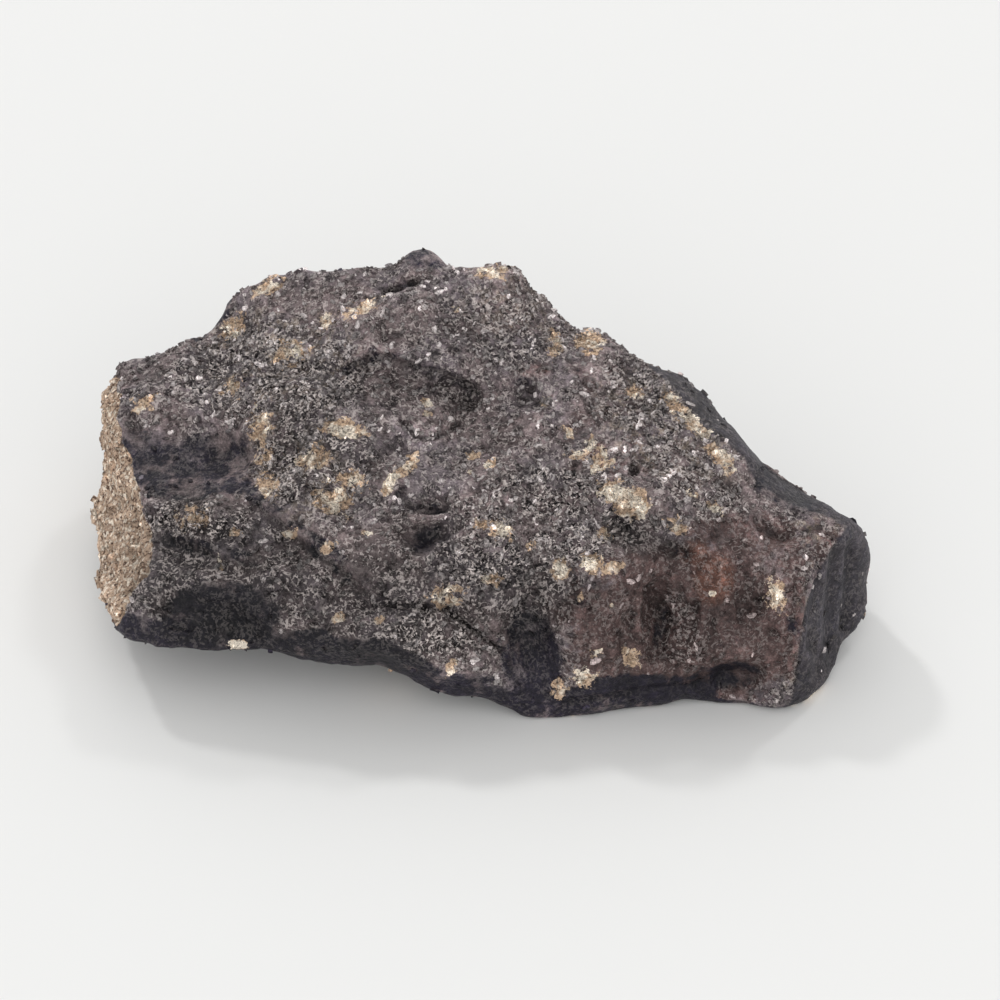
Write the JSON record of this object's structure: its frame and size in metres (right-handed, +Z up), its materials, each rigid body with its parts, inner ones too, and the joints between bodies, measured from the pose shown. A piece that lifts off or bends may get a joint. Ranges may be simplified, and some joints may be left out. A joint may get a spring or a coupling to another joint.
{
  "type": "meteorite",
  "caption": "Wedge-shaped stony meteorite fragment with a dark, pitted fusion crust, pale bare patches and a fresh tan break at its left end.",
  "frame": {"origin": "middle of the stone's box, on the surface that it rests on", "axes": "+X along the stone from its broken end to its fluted end, +Y from the show side's low front edge to the high crest behind, +Z up"},
  "size_m": [0.052, 0.0292, 0.0195],
  "materials": {
    "fusion_crust": "rough dark brown-black crust with a faint sheen, tan granular stone where it has come away"
  },
  "bodies": {
    "root": {"meteorite": "fusion_crust"}
  },
  "joints": []
}
